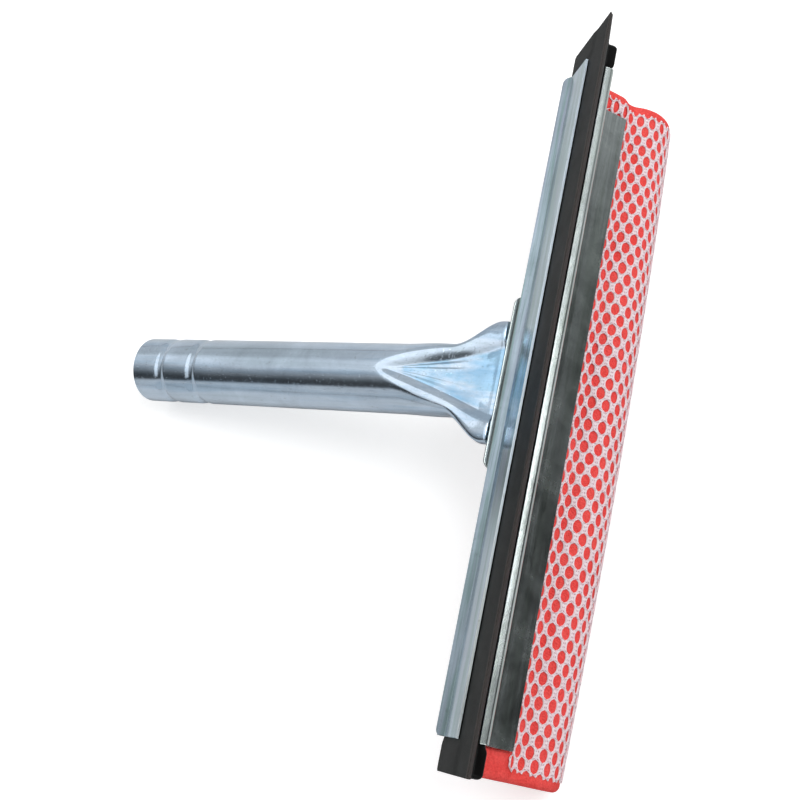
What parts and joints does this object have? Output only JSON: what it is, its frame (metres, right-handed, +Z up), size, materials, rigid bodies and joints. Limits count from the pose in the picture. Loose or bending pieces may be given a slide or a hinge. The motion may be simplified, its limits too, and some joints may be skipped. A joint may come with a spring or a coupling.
{
  "type": "window squeegee",
  "caption": "Window squeegee with a steel socket handle, a folded sheet head, a rubber blade on one side and a netted sponge on the other.",
  "frame": {"origin": "centre of the bounding box's bottom, on the table the tool lies on", "axes": "+X along the blade, +Y from the handle's mouth towards the head, +Z up with the tool lying on its sponge and the handle's mouth"},
  "size_m": [0.255, 0.1946, 0.0859],
  "materials": {
    "zinc_sheet": "bright zinc plate, slightly mottled",
    "zinc_tube": "bright zinc plate with smudges",
    "rivet_steel": "bright zinc plate",
    "blade_rubber": "matt black rubber",
    "foam": "fine open red foam",
    "net": "pale knitted cord net"
  },
  "bodies": {
    "head": {"front_clamp": "zinc_sheet", "blade_channel": "zinc_sheet", "back_plate": "zinc_sheet", "anchor_plate": "zinc_sheet", "blade_root": "blade_rubber", "sponge": "foam", "net_cover": "net", "tongue_rivet_1": "rivet_steel", "tongue_rivet_2": "rivet_steel", "tongue_rivet_3": "rivet_steel", "channel_rivet_1": "rivet_steel", "channel_rivet_2": "rivet_steel", "channel_rivet_3": "rivet_steel", "channel_rivet_4": "rivet_steel", "handle_socket": "zinc_tube"},
    "lip": {"blade_lip": "blade_rubber"}
  },
  "joints": [
    {"name": "lip_flex", "type": "hinge", "parent": "head", "child": "lip", "pos_m": [0, 0.07539, 0.07263], "axis": [1, 0, 0], "range_deg": [-35, 35], "stiffness_Nm_per_rad": 0.25}
  ]
}
